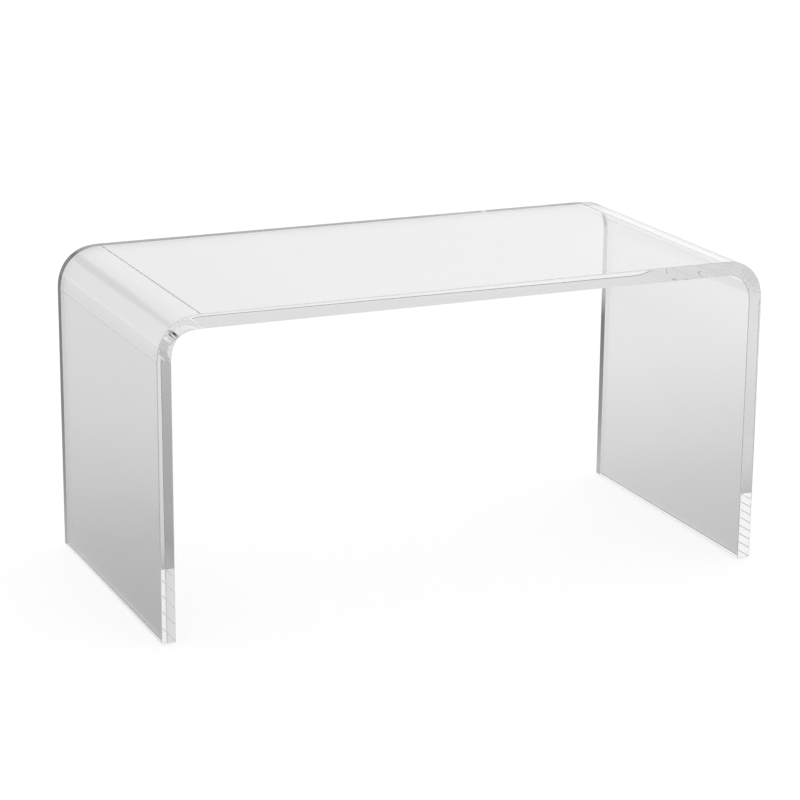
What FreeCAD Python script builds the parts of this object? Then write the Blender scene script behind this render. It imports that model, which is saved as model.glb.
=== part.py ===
import FreeCAD, Part
import math
import os

# A waterfall coffee table: one thick clear sheet, bent twice into an upside-down U, whose two legs
# stand on stick-on bumpers. X runs along the table, Y from front to rear and Z up, with the origin
# on the floor under the middle of the top. All sizes are in millimetres.

# Driving sizes of the table
TABLE_LENGTH = 815.0  # over the outer faces of the legs
TABLE_DEPTH = 396.0  # width of the sheet, from front edge to rear edge
TABLE_HEIGHT = 405.0  # from the floor to the upper face
SHEET_THICKNESS = 18.0
BEND_INSIDE_RADIUS = 32.0  # of the former that the warm sheet is bent over
EDGE_EASE = 0.8  # radius left by polishing the cut edges

# Driving sizes of the bumpers and of the adhesive that holds them
BUMPER_HEIGHT = 2.0
BUMPER_SIDE_MARGIN = 2.2  # bare edge on each side of a bumper's base
BUMPER_END_MARGIN = 24.0  # bare edge between a bumper's base and the end of the leg
BUMPER_TAPER = 1.0  # by which a bumper's foot is smaller in radius than its base
BUMPER_FOOT_ROUNDING = 0.6
ADHESIVE_THICKNESS = 0.2
ADHESIVE_MARGIN = 0.4  # by which the adhesive stays inside the bumper's base

SAME_PLACE = 1e-6  # two places nearer to each other than this count as one

# Sizes and places that follow from them
HALF_LENGTH = TABLE_LENGTH / 2
HALF_DEPTH = TABLE_DEPTH / 2
BEND_OUTSIDE_RADIUS = BEND_INSIDE_RADIUS + SHEET_THICKNESS
BEND_CENTRE_X = HALF_LENGTH - BEND_OUTSIDE_RADIUS
BEND_CENTRE_Z = TABLE_HEIGHT - BEND_OUTSIDE_RADIUS
LEG_INNER_X = HALF_LENGTH - SHEET_THICKNESS
LEG_MIDDLE_X = HALF_LENGTH - SHEET_THICKNESS / 2
LEG_FOOT_Z = BUMPER_HEIGHT + ADHESIVE_THICKNESS
BUMPER_BASE_RADIUS = SHEET_THICKNESS / 2 - EDGE_EASE - BUMPER_SIDE_MARGIN
BUMPER_FOOT_RADIUS = BUMPER_BASE_RADIUS - BUMPER_TAPER
BUMPER_Y = HALF_DEPTH - EDGE_EASE - BUMPER_END_MARGIN - BUMPER_BASE_RADIUS
ADHESIVE_RADIUS = BUMPER_BASE_RADIUS - ADHESIVE_MARGIN

LEVEL_RIGHT = 0.0
UPRIGHT = math.pi / 2
LEVEL_LEFT = math.pi


def front_point(x, z):
    """A point in the plane of the front edge."""
    return FreeCAD.Vector(x, -HALF_DEPTH, z)


def bend_arc(centre_x, radius, first_angle, last_angle):
    """Quarter circle of a bend in the plane of the front edge, with angles from +X towards +Z."""
    angles = (first_angle, (first_angle + last_angle) / 2, last_angle)
    points = [
        front_point(centre_x + radius * math.cos(a), BEND_CENTRE_Z + radius * math.sin(a))
        for a in angles
    ]
    return Part.Arc(*points).toShape()


def outer_line():
    """Outer side of the sheet: up the left leg, over the top and down the right leg."""
    left = bend_arc(-BEND_CENTRE_X, BEND_OUTSIDE_RADIUS, LEVEL_LEFT, UPRIGHT)
    right = bend_arc(BEND_CENTRE_X, BEND_OUTSIDE_RADIUS, UPRIGHT, LEVEL_RIGHT)
    return [
        Part.makeLine(front_point(-HALF_LENGTH, LEG_FOOT_Z), front_point(-HALF_LENGTH, BEND_CENTRE_Z)),
        left,
        Part.makeLine(front_point(-BEND_CENTRE_X, TABLE_HEIGHT), front_point(BEND_CENTRE_X, TABLE_HEIGHT)),
        right,
        Part.makeLine(front_point(HALF_LENGTH, BEND_CENTRE_Z), front_point(HALF_LENGTH, LEG_FOOT_Z)),
    ]


def inner_line():
    """Inner side of the sheet: up the right leg, under the top and down the left leg."""
    underside = TABLE_HEIGHT - SHEET_THICKNESS
    right = bend_arc(BEND_CENTRE_X, BEND_INSIDE_RADIUS, LEVEL_RIGHT, UPRIGHT)
    left = bend_arc(-BEND_CENTRE_X, BEND_INSIDE_RADIUS, UPRIGHT, LEVEL_LEFT)
    return [
        Part.makeLine(front_point(LEG_INNER_X, LEG_FOOT_Z), front_point(LEG_INNER_X, BEND_CENTRE_Z)),
        right,
        Part.makeLine(front_point(BEND_CENTRE_X, underside), front_point(-BEND_CENTRE_X, underside)),
        left,
        Part.makeLine(front_point(-LEG_INNER_X, BEND_CENTRE_Z), front_point(-LEG_INNER_X, LEG_FOOT_Z)),
    ]


def is_cut_edge(edge):
    """True for an edge round the front or rear end of the sheet, or along the foot of a leg."""
    box = edge.BoundBox
    across_end = box.YLength < SAME_PLACE
    along_foot = box.ZMax < LEG_FOOT_Z + SAME_PLACE
    return across_end or along_foot


def bent_sheet():
    """The sheet as one solid, with its cut edges eased. A bend's tangent lines stay as they are."""
    right_foot = Part.makeLine(front_point(HALF_LENGTH, LEG_FOOT_Z), front_point(LEG_INNER_X, LEG_FOOT_Z))
    left_foot = Part.makeLine(front_point(-LEG_INNER_X, LEG_FOOT_Z), front_point(-HALF_LENGTH, LEG_FOOT_Z))
    outline = Part.Wire(outer_line() + [right_foot] + inner_line() + [left_foot])
    sheet = Part.Face(outline).extrude(FreeCAD.Vector(0, TABLE_DEPTH, 0))
    return sheet.makeFillet(EDGE_EASE, [edge for edge in sheet.Edges if is_cut_edge(edge)])


def bumper(x, y):
    """A tapered clear pad that stands on the floor, with its foot rounded."""
    pad = Part.makeCone(BUMPER_FOOT_RADIUS, BUMPER_BASE_RADIUS, BUMPER_HEIGHT)
    foot = [edge for edge in pad.Edges if edge.BoundBox.ZMax < SAME_PLACE]
    pad = pad.makeFillet(BUMPER_FOOT_ROUNDING, foot)
    pad.translate(FreeCAD.Vector(x, y, 0))
    return pad


def adhesive(x, y):
    """The thin disc between a bumper's base and the foot of the leg."""
    disc = Part.makeCylinder(ADHESIVE_RADIUS, ADHESIVE_THICKNESS)
    disc.translate(FreeCAD.Vector(x, y, BUMPER_HEIGHT))
    return disc


def pieces():
    """Every piece of the table by its name."""
    named = {"bent_sheet": bent_sheet()}
    for end, y in (("front", -BUMPER_Y), ("rear", BUMPER_Y)):
        for side, x in (("left", -LEG_MIDDLE_X), ("right", LEG_MIDDLE_X)):
            named[f"bumper_{end}_{side}"] = bumper(x, y)
            named[f"adhesive_{end}_{side}"] = adhesive(x, y)
    return named


os.makedirs("parts", exist_ok=True)
for name, shape in pieces().items():
    shape.exportStep(f"parts/{name}.step")
    print(name, "valid" if shape.isValid() else "not valid", round(shape.Volume), "mm3")
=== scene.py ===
import math

import bpy
import numpy as np
from bpy.props import FloatProperty, FloatVectorProperty, IntProperty, PointerProperty
from mathutils import Matrix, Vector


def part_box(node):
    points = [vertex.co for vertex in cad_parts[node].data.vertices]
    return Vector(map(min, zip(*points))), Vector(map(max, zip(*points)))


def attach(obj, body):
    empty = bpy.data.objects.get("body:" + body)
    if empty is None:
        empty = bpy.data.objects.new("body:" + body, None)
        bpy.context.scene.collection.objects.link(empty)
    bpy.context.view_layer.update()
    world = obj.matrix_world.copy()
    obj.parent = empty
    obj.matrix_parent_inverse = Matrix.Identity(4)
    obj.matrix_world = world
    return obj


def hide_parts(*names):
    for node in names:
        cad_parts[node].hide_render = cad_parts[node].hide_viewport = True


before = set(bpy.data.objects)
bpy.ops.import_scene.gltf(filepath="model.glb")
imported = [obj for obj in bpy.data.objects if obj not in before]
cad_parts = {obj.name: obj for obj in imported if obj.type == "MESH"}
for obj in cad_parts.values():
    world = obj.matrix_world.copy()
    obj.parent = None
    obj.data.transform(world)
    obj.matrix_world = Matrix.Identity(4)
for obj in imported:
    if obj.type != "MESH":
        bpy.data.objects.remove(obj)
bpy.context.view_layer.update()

bl_info = {
    "name": "Waterfall coffee table",
    "version": (1, 0, 0),
    "blender": (4, 5, 0),
    "location": "3D View > Sidebar > Table",
    "description": "Builds a clear bent-sheet coffee table on its bumpers, and the stage under it",
    "category": "Add Mesh",
}

# What the frame gives
SHEET_LOW, SHEET_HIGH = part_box("bent_sheet")
BUMPER_LOW, BUMPER_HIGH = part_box("bumper_front_left")
DISC_LOW, DISC_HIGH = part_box("adhesive_front_left")
CORNERS = ("front_left", "front_right", "rear_left", "rear_right")

# How finely the surfaces are made
MARK_STEPS = 25  # stations across a mark
BEND_SAMPLES = np.arange(-0.9995, 1.0, 0.001)  # places along a bend, from -1 to 1, that give its mean sine
STATION_DIGITS = 8  # stations that agree to this many decimals of a metre count as one
SMALLEST_ROUNDING = 0.02  # share of the ease that is left where the foot turns flat
LATHE_STEPS = 48
FOOT_STEPS = 7  # stations round a bumper's foot
RIM_STEPS = 9  # stations round a disc's rim
SHARP_ANGLE = math.radians(40.0)  # edges of a turned piece that are sharper than this stay sharp
MARK_SIZES = "place from the outer face, depth, width, depth where the leg begins"

# Finishes
ACRYLIC_IOR = 1.49
HAIRLINE_SCALE, HAIRLINE_DETAIL, HAIRLINE_STRETCH = 60.0, 2.0, (0.05, 6.0, 1.0)
HAIRLINE_NOISE = (0.66, 0.74)  # the noise's range that hairlines are made of
HAIRLINE_ROUGHNESS = 0.03
UNEVEN_SCALE, UNEVEN_DEPTH = 7.0, 0.00008  # slow waves of the sheet's faces
SOFT_TRANSMISSION = 0.9
CLOUD_SCALE, CLOUD_DETAIL, CLOUD_NOISE, CLOUD_ROUGHNESS = 900.0, 3.0, (0.3, 0.7), (0.14, 0.34)
GRAIN_SCALE, GRAIN_DETAIL = 2500.0, 2.0
BUMPER_GRAIN, DISC_GRAIN = 0.00004, 0.00002  # depth of the grain

# Stage
SENSOR_WIDTH = 36.0
BOUNCES = 32
FLOOR_LIFT = 0.77  # light that the floor adds for rays from the camera and through glass
FADE = (-0.7, 0.5)  # directions along Y between which the front light turns into the back light
SIDE, SIDE_LIGHT = (-0.45, 0.5), (0.72, 1.0)  # directions along X, and the shares of the light there
FLAG_RIM = 0.25  # half of a flag's soft rim, as a share of its half size
FLAG_BEHIND = (0.3, 0.6)  # directions along Y over which a flag begins
# Each flag's middle and half size along X, the same along Z, the share of the light that it lets pass, and
# how often light is reflected before it meets the flag
FLAGS = (
    (-0.137, 0.085, 0.338, 0.042, 0.58, 0),
    (-0.165, 0.08, 0.25, 0.045, 0.05, 5),
)

# Painted shade: a card on the floor, hidden from the camera, stands in for the table's shadow and the dark
# floor round it.
# Card of painted shade on the floor: greys at places along Y, from CARD_START to CARD_END, and where they
# hold
CARD_START, CARD_END = -8.0, 8.0
CARD_HEIGHT = 0.0006
SHADE_CLEAR = (  # painted shade seen straight through the sheet, near the table
    (-7.5, 0.99), (-4.0, 0.93), (-1.6, 0.87), (-1.0, 0.85), (-0.75, 0.82), (-0.5, 0.75),
    (-0.35, 0.66), (-0.21, 0.55), (-0.12, 0.62), (0.1, 0.645), (0.3, 0.69), (0.5, 0.76),
    (0.75, 0.835), (1.0, 0.855), (1.3, 0.845), (1.6, 0.83), (4.0, 0.83), (7.5, 0.75),
)
SHADE_FAR = (  # painted shade seen straight through the sheet, away from the table
    (-7.5, 0.99), (-4.0, 0.93), (-1.6, 0.87), (1.0, 0.86), (1.4, 0.83), (7.5, 0.8),
)
SHADE_MIRRORED = (  # painted dark reflections, seen after a reflection, between the legs
    (-7.5, 0.1), (-1.0, 0.1), (-0.4, 0.17), (-0.05, 0.3), (0.15, 0.5), (0.3, 0.71),
    (0.5, 0.77), (0.75, 0.83), (1.0, 0.855), (1.6, 0.87), (4.0, 0.85), (7.5, 0.8),
)
SHADE_LEFT = (  # painted shadow left of the table, seen after a reflection
    (-0.5, 0.2), (-0.1, 0.27), (0.2, 0.355), (0.4, 0.435), (0.6, 0.465),
    (0.8, 0.49), (1.0, 0.535), (1.3, 0.605), (2.0, 0.68), (7.5, 0.68),
)
SHADE_RIGHT = (  # painted shade seen after a reflection, right of the table
    (-7.5, 0.1), (-1.45, 0.1), (-1.37, 0.5), (0.0, 0.55), (0.3, 0.71),
    (0.5, 0.77), (0.75, 0.83), (1.0, 0.855), (1.6, 0.87), (7.5, 0.8),
)
SHADE_NEAR = (  # share of the near painted shade at places along X
    (-7.5, 0.0), (-1.1, 0.0), (-0.45, 1.0), (-0.25, 1.0), (-0.05, 0.5),
    (0.3, 0.5), (0.4, 1.0), (0.8, 1.0), (1.2, 0.0), (7.5, 0.0),
)
LEFT_END, RIGHT_START = (-0.43, -0.37), (0.84, 0.92)  # along X, where the left painted shade ends and the right one starts
PALE_X, PALE = (0.25, 0.4), 0.145  # along X, where the painted shade seen straight through turns paler, and by how much
GLINT_X, GLINT_Y, GLINT = (0.95, 1.15), (1.6, 1.4), 0.4  # where the painted shade turns paler still, a painted glint, and by how much
WHITE = (1.0, 1.0, 1.0, 1.0)


# Sizes and colours that a user would change


class SheetSettings(bpy.types.PropertyGroup):
    """Sizes and finish of the bent sheet."""

    length: FloatProperty(
        name="Length", description="Over the outer faces of the legs",
        default=SHEET_HIGH.x - SHEET_LOW.x, min=0.3, unit="LENGTH",
    )
    depth: FloatProperty(
        name="Depth", description="Width of the sheet, from its front edge to its rear edge",
        default=SHEET_HIGH.y - SHEET_LOW.y, min=0.1, unit="LENGTH",
    )
    top: FloatProperty(
        name="Top", description="Height of the upper face over the floor",
        default=SHEET_HIGH.z, min=0.15, unit="LENGTH",
    )
    foot: FloatProperty(
        name="Foot", description="Height of the legs' lower edges over the floor",
        default=SHEET_LOW.z, min=0.0, unit="LENGTH",
    )
    thickness: FloatProperty(
        name="Thickness", description="Thickness of the sheet",
        default=0.018, min=0.003, unit="LENGTH",
    )
    bend_reach: FloatProperty(
        name="Bend reach", description="From an outer face to the line where the bend begins",
        default=0.0565, min=0.02, unit="LENGTH",
    )
    bend_focus: FloatProperty(
        name="Bend focus", description="0 bends evenly, 1 gathers the bend in its middle",
        default=0.7, min=0.0, max=1.0, subtype="FACTOR",
    )
    ease: FloatProperty(
        name="Edge ease", description="Radius that polishing leaves on the cut edges",
        default=0.001, min=0.0001, unit="LENGTH",
    )
    left_mark: FloatVectorProperty(
        name="Left mark", description=f"Faint groove inside the left bend: {MARK_SIZES}",
        size=4, default=(0.059, 0.00013, 0.006, 0.0001), min=0.0, unit="LENGTH",
    )
    right_mark: FloatVectorProperty(
        name="Right mark", description=f"Faint groove outside the right bend: {MARK_SIZES}",
        size=4, default=(0.0605, 0.00027, 0.004, 0.0), min=0.0, unit="LENGTH",
    )
    buffing: FloatProperty(
        name="Buffing", description="What buffing takes off the inner side of the front edge at the bends",
        default=0.0024, min=0.0, unit="LENGTH",
    )
    ripple: FloatProperty(
        name="Ripple", description="Unevenness of the buffing, as a share of it",
        default=0.12, min=0.0, max=1.0, subtype="FACTOR",
    )
    ripple_rate: FloatProperty(
        name="Ripple rate", description="How fast the unevenness goes up and down along a bend",
        default=30.0, min=0.0,
    )
    edge_rub: FloatProperty(
        name="Edge rub", description="Roughness in the middle of the eased edges",
        default=0.55, min=0.0, max=1.0, subtype="FACTOR",
    )
    top_polish: FloatProperty(
        name="Top polish", description="Share by which the top's upper edges are rubbed less than the others",
        default=0.5, min=0.0, max=1.0, subtype="FACTOR",
    )
    bend_steps: IntProperty(name="Bend steps", description="Steps round each bend", default=96, min=8)
    ease_steps: IntProperty(name="Ease steps", description="Steps round each eased edge", default=6, min=2)
    tint: FloatVectorProperty(
        name="Tint", description="Colour that is left of white light after one pass through the sheet",
        default=(0.9, 0.9, 0.9), min=0.0, max=1.0, subtype="COLOR",
    )


class BumperSettings(bpy.types.PropertyGroup):
    """Sizes and colours of the bumpers and of the discs that hold them."""

    foot_share: FloatProperty(
        name="Foot share", description="Radius of the foot as a share of the base's",
        default=5 / 6, min=0.3, max=1.0, subtype="FACTOR",
    )
    rounding: FloatProperty(
        name="Rounding", description="Radius round the bumper's foot",
        default=0.0006, min=0.0001, unit="LENGTH",
    )
    clearance: FloatProperty(
        name="Clearance", description="Left free between a disc and what it holds",
        default=0.00003, unit="LENGTH",
    )
    bumper_colour: FloatVectorProperty(
        name="Bumper", description="Colour of the soft clear bumpers",
        default=(0.9, 0.9, 0.89), min=0.0, max=1.0, subtype="COLOR",
    )
    disc_colour: FloatVectorProperty(
        name="Disc", description="Colour of the adhesive film",
        default=(0.9, 0.89, 0.86), min=0.0, max=1.0, subtype="COLOR",
    )


class StageSettings(bpy.types.PropertyGroup):
    """Floor, light and camera."""

    floor_colour: FloatVectorProperty(
        name="Floor", description="Colour of the pale floor",
        default=(0.35, 0.35, 0.35), min=0.0, max=1.0, subtype="COLOR",
    )
    floor_size: FloatProperty(name="Floor size", description="Side of the floor", default=40.0, unit="LENGTH")
    back_light: FloatProperty(
        name="Back light", description="Light of the studio behind the table", default=1.05, min=0.0,
    )
    front_light: FloatProperty(
        name="Front light", description="Light of the studio before the table", default=0.7, min=0.0,
    )
    camera_place: FloatVectorProperty(
        name="Camera place", description="Where the camera stands",
        default=(-1.3537, -3.0211, 1.1746), subtype="XYZ", unit="LENGTH",
    )
    camera_yaw: FloatProperty(
        name="Yaw", description="Turn of the view from +Y towards +X",
        default=math.radians(23.98), unit="ROTATION",
    )
    camera_pitch: FloatProperty(
        name="Pitch", description="Tilt of the view downwards", default=math.radians(16.27), unit="ROTATION",
    )
    camera_roll: FloatProperty(
        name="Roll", description="Turn of the picture", default=math.radians(0.49), unit="ROTATION",
    )
    camera_lens: FloatProperty(name="Lens", description="Focal length in millimetres", default=119.22)


# Surfaces


def add_mesh(name, points, faces, material, normals=None, arris=None):
    """A new object at the origin, with a normal and an arris share for each point where they are given."""
    mesh = bpy.data.meshes.new(name)
    mesh.from_pydata(points.reshape(-1, 3).tolist(), [], faces)
    mesh.polygons.foreach_set("use_smooth", np.ones(len(mesh.polygons), dtype=bool))
    if normals is not None:
        mesh.normals_split_custom_set_from_vertices(normals.reshape(-1, 3).tolist())
    else:
        mesh.set_sharp_from_angle(angle=SHARP_ANGLE)
    if arris is not None:
        mesh.attributes.new("arris", "FLOAT", "POINT").data.foreach_set("value", arris.ravel())
    mesh.update()
    mesh.materials.append(material)
    piece = bpy.data.objects.new(name, mesh)
    bpy.context.scene.collection.objects.link(piece)
    return piece


def add_plane(name, low, high, height, material):
    """A level square whose sides run from low to high along X and Y."""
    points = np.array([[low, low, height], [high, low, height], [high, high, height], [low, high, height]])
    return add_mesh(name, points, [[0, 1, 2, 3]], material)


def grid_faces(rows, columns):
    """Quads of a grid whose columns close into a ring, as indices into its points row by row."""
    row = np.arange(rows - 1)[:, None] * columns
    here = np.arange(columns)[None, :]
    there = (here + 1) % columns
    quads = np.stack([row + here, row + there, row + columns + there, row + columns + here], axis=-1)
    return quads.reshape(-1, 4)


def capped(points):
    """Faces of a tube of rings, closed by one flat face at each end."""
    rows, columns = points.shape[:2]
    faces = grid_faces(rows, columns).tolist()
    faces.append(np.arange(columns)[::-1].tolist())
    faces.append(((rows - 1) * columns + np.arange(columns)).tolist())
    return faces


def bend_turn(t, focus):
    """Turn of the sheet at t, from -1 where a bend begins to 1 where it ends.

    The curvature is in proportion to 1 - focus t squared. The turn is the integral of that, scaled to a
    right angle.
    """
    return math.pi / 4 + math.pi / 4 * (t - focus * t**3 / 3) / (1 - focus / 3)


def bend_length(s):
    """Length of the middle of a bend: its reach over the mean sine of its turn."""
    return (s.bend_reach - s.thickness / 2) / np.sin(bend_turn(BEND_SAMPLES, s.bend_focus)).mean()


def groove(away, depth, width):
    """Depth and slope of a groove at lengths away from its middle.

    The depth is in proportion to (1 - u squared) squared, with u from -1 to 1 across the groove.
    """
    u = np.clip(away / (width / 2), -1.0, 1.0)
    return depth * (1 - u**2) ** 2, -8 * depth / width * u * (1 - u**2)


def half_path(s, mark):
    """The middle of the sheet from a foot to past its bend, as rows of values at stations along it.

    The rows are x, z, turn, lean, buffing, its slope, depth of the grooves and their slope. Stations are
    lengths along the path, close together round the eased foot, along the bend and over the grooves. x and
    z add up the steps' sines and cosines of the turn. The lean goes from straight down to level round the
    foot. The buffing is a hump over the bend, the square of the sine of twice the turn, with a ripple.
    """
    leg = s.top - s.bend_reach - s.foot
    arc = bend_length(s)
    place, depth, width, leg_depth = mark
    upper = leg + arc + place - s.bend_reach
    foot = np.linspace(math.pi / 2, 0.0, s.ease_steps + 1)
    across = width / 2 * np.linspace(-1.0, 1.0, MARK_STEPS)
    lengths = np.concatenate([
        s.ease * (1 - np.sin(foot)),
        leg + arc * np.linspace(0.0, 1.0, s.bend_steps + 1),
        leg + across,
        upper + across,
    ])
    lengths = np.unique(lengths.round(STATION_DIGITS))
    turn = bend_turn(np.clip(2 * (lengths - leg) / arc - 1, -1.0, 1.0), s.bend_focus)
    step = np.diff(lengths) * np.sinc(np.diff(turn) / (2 * math.pi))
    between = (turn[1:] + turn[:-1]) / 2
    x = s.thickness / 2 - s.length / 2 + np.append(0.0, np.cumsum(np.sin(between) * step))
    z = s.foot + np.append(0.0, np.cumsum(np.cos(between) * step))
    lean = np.arcsin(np.clip(1 - lengths / s.ease, 0.0, 1.0))
    buff = s.buffing * np.sin(turn * 2) ** 2 * (1 + s.ripple * np.sin(s.ripple_rate * turn))
    leg_dip, leg_slope = groove(lengths - leg, leg_depth, width)
    dip, slope = groove(lengths - upper, depth, width)
    return np.stack([x, z, turn, lean, buff, np.gradient(buff, lengths), dip + leg_dip, slope + leg_slope])


def sheet_path(s):
    """The whole path: the left half, then the mirror image of a half with the right mark.

    The last row is 1 in the left half, whose grooves are in the inner face, and 0 in the right half.
    """
    left = half_path(s, s.left_mark)
    x, z, turn, lean, buff, buff_slope, dip, slope = half_path(s, s.right_mark)
    right = np.stack([-x, z, math.pi - turn, lean, buff, -buff_slope, dip, -slope])[:, ::-1]
    inside = np.append(np.ones_like(left[0]), np.zeros_like(right[0]))
    return np.vstack([np.hstack([left, right]), inside])[:, :, None]


def sheet_surface(s):
    """Points, normals and arris of the bent sheet, a rounded rectangle carried along its path.

    The section is a rectangle of depth by thickness with corners of radius ease: four quarter circles
    joined by straight sides. Along the path its thickness direction follows the normal. At the feet the
    corner radius shrinks with the cosine of the lean, which rounds the end as well. One face carries the
    grooves. The front edge's inner corner is buffed back at the bends, which tilts that edge. The arris
    is 1 in the middle of a rounding and 0 on the flat faces, and less on the top's upper edges.
    """
    x, z, turn, lean, buff, buff_slope, dip, slope, inside = sheet_path(s)
    quarter = np.linspace(0.0, math.pi / 2, s.ease_steps + 1)
    corner = np.arange(4)[:, None] * math.pi / 2
    angle = (corner + quarter).ravel()[None, :]
    side = np.repeat(np.sign(np.cos(corner + math.pi / 4)), len(quarter))[None, :]
    face = np.repeat(np.sign(np.sin(corner + math.pi / 4)), len(quarter))[None, :]
    inner, front = (1 - face) / 2, (1 - side) / 2
    grooved = inside * inner - (1 - inside) * (1 - inner)
    level = np.cos(lean)
    radius = s.ease * np.maximum(level, SMALLEST_ROUNDING)
    across = side * (s.depth / 2 - s.ease - buff * inner * front) + radius * np.cos(angle)
    through = face * (s.thickness / 2 - s.ease) + radius * np.sin(angle) + dip * grooved
    tilt = np.arctan(buff / (s.thickness - 2 * s.ease)) * front * np.cos(angle) * np.abs(np.cos(angle))
    out_y, out_n = np.cos(angle - tilt), np.sin(angle - tilt)
    out_t = side * buff_slope * inner * front * out_y - slope * grooved * out_n
    normal_x, normal_z = -np.cos(turn), np.sin(turn)
    points = np.stack([x + through * normal_x, across, z + through * normal_z], axis=-1)
    normals = np.stack([
        level * (out_n * normal_x + out_t * np.sin(turn)),
        level * out_y,
        level * (out_n * normal_z + out_t * np.cos(turn)) - np.sin(lean),
    ], axis=-1)
    normals /= np.linalg.norm(normals, axis=-1, keepdims=True)
    rub = 1 - s.top_polish * (1 - inner) * np.sin(turn) ** 2
    arris = np.maximum(np.abs(np.sin(2 * angle)) * level * rub, np.abs(np.sin(2 * lean)))
    return points, normals, arris


def lathe_surface(profile, x, y):
    """A profile of radius and height turned about an upright axis at x and y."""
    angle = np.linspace(0.0, 2 * math.pi, LATHE_STEPS, endpoint=False)[None, :]
    radius, height = profile[:, :1], profile[:, 1:]
    return np.stack(
        [x + radius * np.cos(angle), y + radius * np.sin(angle), height * np.ones_like(angle)], axis=-1
    )


def bumper_profile(s):
    """Radius and height up a bumper's side: a quarter circle round the foot, then a straight taper."""
    base = (BUMPER_HIGH.x - BUMPER_LOW.x) / 2
    foot = base * s.foot_share
    turn = np.linspace(0.0, math.pi / 2, FOOT_STEPS)
    low = np.stack([foot - s.rounding + s.rounding * np.sin(turn), s.rounding * (1 - np.cos(turn))], axis=-1)
    return np.concatenate([low, [[base, BUMPER_HIGH.z]]])


def disc_profile(s):
    """Radius and height round a disc's rim, a half circle as high as the disc."""
    radius = (DISC_HIGH.x - DISC_LOW.x) / 2
    low, high = DISC_LOW.z + s.clearance, DISC_HIGH.z - s.clearance
    rim = (high - low) / 2
    turn = np.linspace(-math.pi / 2, math.pi / 2, RIM_STEPS)
    return np.stack([radius - rim + rim * np.cos(turn), low + rim + rim * np.sin(turn)], axis=-1)


# Nodes


def new_material(name):
    """A material with its node tree and its one surface shader."""
    material = bpy.data.materials.new(name)
    material.use_nodes = True
    tree = material.node_tree
    return material, tree, tree.nodes["Principled BSDF"]


def feed(tree, value, socket):
    """Links another socket's value to a socket, or sets the socket to a number or colour."""
    if isinstance(value, bpy.types.NodeSocket):
        tree.links.new(value, socket)
    else:
        socket.default_value = value


def split_place(tree, kind):
    """X, Y and Z of one kind of texture coordinates."""
    place = tree.nodes.new("ShaderNodeTexCoord")
    split = tree.nodes.new("ShaderNodeSeparateXYZ")
    tree.links.new(place.outputs[kind], split.inputs[0])
    return split.outputs["X"], split.outputs["Y"], split.outputs["Z"]


def noise(tree, scale, detail, stretch=(1.0, 1.0, 1.0)):
    """Noise over the piece's own coordinates, stretched by a factor along each axis."""
    place = tree.nodes.new("ShaderNodeTexCoord")
    squeeze = tree.nodes.new("ShaderNodeMapping")
    squeeze.inputs["Scale"].default_value = stretch
    cloud = tree.nodes.new("ShaderNodeTexNoise")
    cloud.inputs["Scale"].default_value = scale
    cloud.inputs["Detail"].default_value = detail
    tree.links.new(place.outputs["Object"], squeeze.inputs[0])
    tree.links.new(squeeze.outputs[0], cloud.inputs["Vector"])
    return cloud.outputs["Fac"]


def ranged(tree, source, first, last, low, high, interpolation="LINEAR"):
    """The source's range from first to last, spread over low to high."""
    spread = tree.nodes.new("ShaderNodeMapRange")
    spread.interpolation_type = interpolation
    for name, value in (("From Min", first), ("From Max", last), ("To Min", low), ("To Max", high)):
        spread.inputs[name].default_value = value
    tree.links.new(source, spread.inputs["Value"])
    return spread.outputs[0]


def along(tree, source, first, last):
    """A share that goes from 0 to 1 where the source goes from first to last."""
    return ranged(tree, source, first, last, 0.0, 1.0)


def reckon(tree, operation, *terms):
    """Result of a Math node for its terms, each of which is a socket or a number."""
    node = tree.nodes.new("ShaderNodeMath")
    node.operation = operation
    for term, socket in zip(terms, node.inputs):
        feed(tree, term, socket)
    return node.outputs[0]


def within(tree, source, middle, half):
    """1 where the source is near the middle and 0 where it is further away than half, with a soft rim."""
    away = reckon(tree, "ABSOLUTE", reckon(tree, "SUBTRACT", source, middle))
    return ranged(tree, away, half * (1 + FLAG_RIM), half * (1 - FLAG_RIM), 0.0, 1.0, "SMOOTHSTEP")


def blend(tree, share, first, second):
    """The first colour where the share is 0, and the second where it is 1."""
    mix = tree.nodes.new("ShaderNodeMix")
    mix.data_type = "RGBA"
    feed(tree, share, mix.inputs[0])
    feed(tree, first, mix.inputs["A"])
    feed(tree, second, mix.inputs["B"])
    return mix.outputs[2]


def add_ramp(tree, source, stops):
    """Greys at the places of the stops, with even steps of grey between them."""
    ramp = tree.nodes.new("ShaderNodeValToRGB")
    elements = ramp.color_ramp.elements
    while len(elements) < len(stops):
        elements.new(0.5)
    for element, (place, grey) in zip(elements, stops):
        element.position = (place - CARD_START) / (CARD_END - CARD_START)
        element.color = (grey, grey, grey, 1.0)
    tree.links.new(source, ramp.inputs[0])
    return ramp.outputs["Color"]


def add_bump(tree, shader, height, distance):
    """Lets a height bump the surface by up to a distance."""
    bump = tree.nodes.new("ShaderNodeBump")
    bump.inputs["Distance"].default_value = distance
    tree.links.new(height, bump.inputs["Height"])
    tree.links.new(bump.outputs[0], shader.inputs["Normal"])


# Finishes


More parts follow.
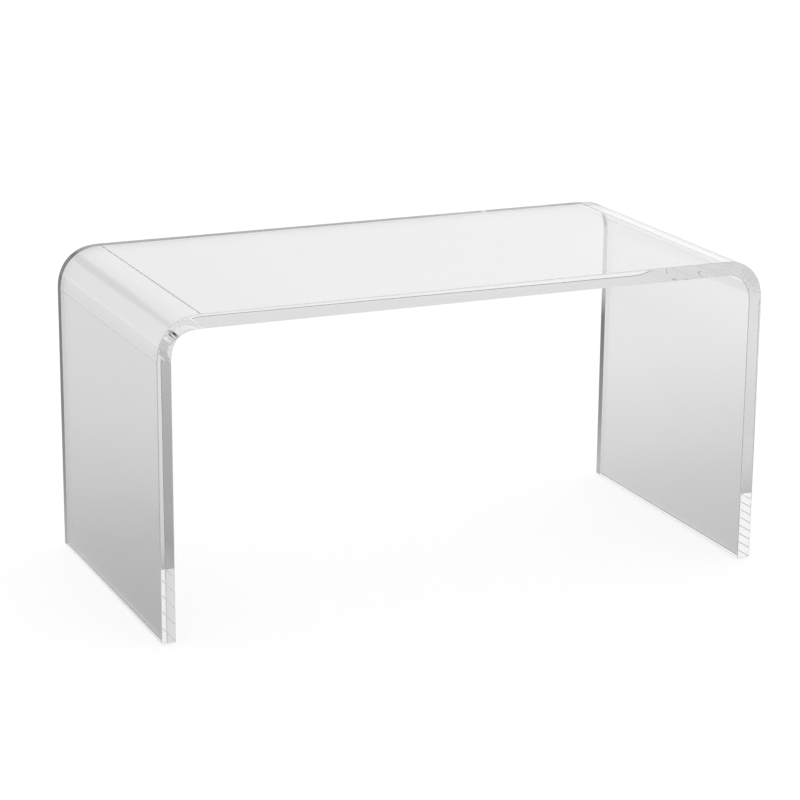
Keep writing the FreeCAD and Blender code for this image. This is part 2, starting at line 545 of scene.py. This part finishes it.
def clear_acrylic(s):
    """Water-clear acrylic with a faint grey tint.

    The eased edges are rubbed matt, hairlines from wiping run along the table, and the faces are not
    quite flat.
    """
    material, tree, shader = new_material("clear_acrylic")
    shader.inputs["Base Color"].default_value = (*s.tint, 1.0)
    shader.inputs["IOR"].default_value = ACRYLIC_IOR
    shader.inputs["Transmission Weight"].default_value = 1.0
    arris = tree.nodes.new("ShaderNodeAttribute")
    arris.attribute_name = "arris"
    streaks = noise(tree, HAIRLINE_SCALE, HAIRLINE_DETAIL, HAIRLINE_STRETCH)
    hairlines = ranged(tree, streaks, *HAIRLINE_NOISE, 0.0, HAIRLINE_ROUGHNESS)
    rubbed = ranged(tree, arris.outputs["Fac"], 0.0, 1.0, 0.0, s.edge_rub)
    tree.links.new(reckon(tree, "MAXIMUM", hairlines, rubbed), shader.inputs["Roughness"])
    add_bump(tree, shader, noise(tree, UNEVEN_SCALE, 0.0), UNEVEN_DEPTH)
    return material


def soft_clear(name, colour, grain):
    """Clear, slightly cloudy polyurethane or film, with a fine grain of the given depth."""
    material, tree, shader = new_material(name)
    shader.inputs["Base Color"].default_value = (*colour, 1.0)
    shader.inputs["IOR"].default_value = ACRYLIC_IOR
    shader.inputs["Transmission Weight"].default_value = SOFT_TRANSMISSION
    cloud = ranged(tree, noise(tree, CLOUD_SCALE, CLOUD_DETAIL), *CLOUD_NOISE, *CLOUD_ROUGHNESS)
    tree.links.new(cloud, shader.inputs["Roughness"])
    add_bump(tree, shader, noise(tree, GRAIN_SCALE, GRAIN_DETAIL), grain)
    return material


# Stage


def floor_material(s):
    """Pale floor that also shows white to the camera and through glass, and keeps the shadow."""
    material, tree, shader = new_material("pale_floor")
    shader.inputs["Base Color"].default_value = (*s.floor_colour, 1.0)
    shader.inputs["Roughness"].default_value = 1.0
    shader.inputs["Specular IOR Level"].default_value = 0.0
    shader.inputs["Emission Color"].default_value = WHITE
    rays = tree.nodes.new("ShaderNodeLightPath").outputs
    glass = reckon(tree, "MAXIMUM", rays["Is Glossy Ray"], rays["Is Transmission Ray"])
    seen = reckon(tree, "MAXIMUM", rays["Is Camera Ray"], glass)
    tree.links.new(reckon(tree, "MULTIPLY", seen, FLOOR_LIFT), shader.inputs["Emission Strength"])
    return material


def shade_material():
    """Painted shade on the floor card: a grey that light meets straight through the sheet, and a darker one,
    a painted dark reflection, after a reflection in it.
    """
    material, tree, shader = new_material("painted_floor_shade")
    tree.nodes.remove(shader)
    place_x, place_y, _ = split_place(tree, "Object")
    x = along(tree, place_x, CARD_START, CARD_END)
    y = along(tree, place_y, CARD_START, CARD_END)
    mirrored = blend(
        tree, along(tree, place_x, *LEFT_END),
        add_ramp(tree, y, SHADE_LEFT), add_ramp(tree, y, SHADE_MIRRORED),
    )
    mirrored = blend(tree, along(tree, place_x, *RIGHT_START), mirrored, add_ramp(tree, y, SHADE_RIGHT))
    clear = blend(
        tree, add_ramp(tree, x, SHADE_NEAR), add_ramp(tree, y, SHADE_FAR), add_ramp(tree, y, SHADE_CLEAR)
    )
    # Paler patches of the painted shade, one of them a painted glint
    glint = reckon(tree, "MULTIPLY", along(tree, place_x, *GLINT_X), along(tree, place_y, *GLINT_Y))
    paler = reckon(tree, "MULTIPLY_ADD", glint, GLINT, ranged(tree, place_x, *PALE_X, 0.0, PALE))
    clear = blend(tree, paler, clear, WHITE)
    rays = tree.nodes.new("ShaderNodeLightPath").outputs
    glow = tree.nodes.new("ShaderNodeEmission")
    # Painted reflection: after a reflection inside the sheet the card shows its darker greys
    tree.links.new(blend(tree, rays["Glossy Depth"], clear, mirrored), glow.inputs["Color"])
    tree.links.new(glow.outputs[0], tree.nodes["Material Output"].inputs["Surface"])
    return material


def add_shade():
    """A grey card of painted shade on the floor, standing in for the table's shadow and dark surroundings,
    that only reflections and refractions see.
    """
    card = add_plane("painted_floor_shade", CARD_START, CARD_END, CARD_HEIGHT, shade_material())
    card.visible_camera = False
    card.visible_diffuse = False
    card.visible_shadow = False
    return card


def studio_world(s):
    """Soft light, brighter behind the table than before it, with two dark flags behind the table.

    One of the flags shows only to light that was reflected several times inside the sheet.
    """
    world = bpy.data.worlds.new("studio")
    world.use_nodes = True
    tree = world.node_tree
    x, y, z = split_place(tree, "Generated")
    rays = tree.nodes.new("ShaderNodeLightPath").outputs
    colour = ranged(tree, y, *FADE, s.front_light, s.back_light)
    strength = ranged(tree, x, *SIDE, *SIDE_LIGHT)
    for middle_x, half_x, middle_z, half_z, passing, reflections in FLAGS:
        dark = reckon(tree, "MULTIPLY", within(tree, x, middle_x, half_x), within(tree, z, middle_z, half_z))
        dark = reckon(tree, "MULTIPLY", dark, along(tree, y, *FLAG_BEHIND))
        if reflections:
            deep = along(tree, rays["Glossy Depth"], reflections - 1, reflections)
            dark = reckon(tree, "MULTIPLY", dark, deep)
        strength = reckon(tree, "MULTIPLY", strength, ranged(tree, dark, 0.0, 1.0, 1.0, passing))
    tree.links.new(colour, tree.nodes["Background"].inputs["Color"])
    tree.links.new(strength, tree.nodes["Background"].inputs["Strength"])
    return world


def add_camera(s):
    """Camera at its place, whose right, up and back directions come from its yaw, pitch and roll."""
    camera = bpy.data.cameras.new("camera")
    camera.sensor_width = SENSOR_WIDTH
    camera.lens = s.camera_lens
    yaw, pitch, roll = s.camera_yaw, s.camera_pitch, s.camera_roll
    ahead = np.array([math.sin(yaw) * math.cos(pitch), math.cos(yaw) * math.cos(pitch), -math.sin(pitch)])
    level = np.array([math.cos(yaw), -math.sin(yaw), 0.0])
    upward = np.cross(level, ahead)
    right = math.cos(roll) * level + math.sin(roll) * upward
    up = math.cos(roll) * upward - math.sin(roll) * level
    place = np.eye(4)
    place[:3] = np.stack([right, up, -ahead, np.array(s.camera_place)], axis=1)
    holder = bpy.data.objects.new("camera", camera)
    holder.matrix_world = Matrix(place.tolist())
    bpy.context.scene.collection.objects.link(holder)
    return holder


# Operators, one for each piece or group of like pieces and one for the stage


def add_at_corners(name, node, profile, material):
    """Turns a profile at each corner, in the place of the CAD node that the piece stands for."""
    for corner in CORNERS:
        low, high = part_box(f"{node}_{corner}")
        middle = (low + high) / 2
        points = lathe_surface(profile, middle.x, middle.y)
        piece = add_mesh(f"{name}_{corner}", points, capped(points), material)
        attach(piece, "root")
        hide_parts(f"{node}_{corner}")


class TABLE_OT_bent_sheet(bpy.types.Operator):
    """Build the sheet that is bent into the top and both legs"""

    bl_idname = "table.bent_sheet"
    bl_label = "Bent sheet"

    def execute(self, context):
        s = context.scene.table_sheet
        points, normals, arris = sheet_surface(s)
        piece = add_mesh("clear_bent_sheet", points, capped(points), clear_acrylic(s), normals, arris)
        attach(piece, "root")
        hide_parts("bent_sheet")
        return {"FINISHED"}


class TABLE_OT_bumpers(bpy.types.Operator):
    """Build the four bumpers under the legs"""

    bl_idname = "table.bumpers"
    bl_label = "Bumpers"

    def execute(self, context):
        s = context.scene.table_bumpers
        material = soft_clear("clear_bumper", s.bumper_colour, BUMPER_GRAIN)
        add_at_corners("clear_bumper", "bumper", bumper_profile(s), material)
        return {"FINISHED"}


class TABLE_OT_adhesive_discs(bpy.types.Operator):
    """Build the four discs that hold the bumpers to the legs"""

    bl_idname = "table.adhesive_discs"
    bl_label = "Adhesive discs"

    def execute(self, context):
        s = context.scene.table_bumpers
        material = soft_clear("adhesive_film", s.disc_colour, DISC_GRAIN)
        add_at_corners("adhesive_disc", "adhesive", disc_profile(s), material)
        return {"FINISHED"}


class TABLE_OT_stage(bpy.types.Operator):
    """Build the floor, the card of painted shade on it, the light and the camera"""

    bl_idname = "table.stage"
    bl_label = "Stage"

    def execute(self, context):
        scene = context.scene
        s = scene.table_stage
        add_plane("pale_floor", -s.floor_size / 2, s.floor_size / 2, 0.0, floor_material(s))
        add_shade()
        scene.world = studio_world(s)
        scene.camera = add_camera(s)
        scene.view_settings.view_transform = "Standard"
        scene.cycles.max_bounces = BOUNCES
        scene.cycles.glossy_bounces = BOUNCES
        scene.cycles.transmission_bounces = BOUNCES
        return {"FINISHED"}


class TABLE_PT_pieces(bpy.types.Panel):
    """Lists what the table is built from"""

    bl_idname = "TABLE_PT_pieces"
    bl_label = "Waterfall coffee table"
    bl_space_type = "VIEW_3D"
    bl_region_type = "UI"
    bl_category = "Table"

    def draw(self, context):
        for operator in OPERATORS:
            self.layout.operator(operator.bl_idname)


OPERATORS = (TABLE_OT_bent_sheet, TABLE_OT_bumpers, TABLE_OT_adhesive_discs, TABLE_OT_stage)
SETTINGS = {"table_sheet": SheetSettings, "table_bumpers": BumperSettings, "table_stage": StageSettings}


def register():
    """Registers the settings, the operators and the panel."""
    for name, settings in SETTINGS.items():
        bpy.utils.register_class(settings)
        setattr(bpy.types.Scene, name, PointerProperty(type=settings))
    for part in (*OPERATORS, TABLE_PT_pieces):
        bpy.utils.register_class(part)


def unregister():
    """Takes back what register added."""
    for part in (TABLE_PT_pieces, *reversed(OPERATORS)):
        bpy.utils.unregister_class(part)
    for name, settings in SETTINGS.items():
        delattr(bpy.types.Scene, name)
        bpy.utils.unregister_class(settings)


def main():
    """Builds the pieces and the stage in order."""
    register()
    bpy.ops.table.bent_sheet()
    bpy.ops.table.bumpers()
    bpy.ops.table.adhesive_discs()
    bpy.ops.table.stage()


if __name__ == "__main__":
    main()
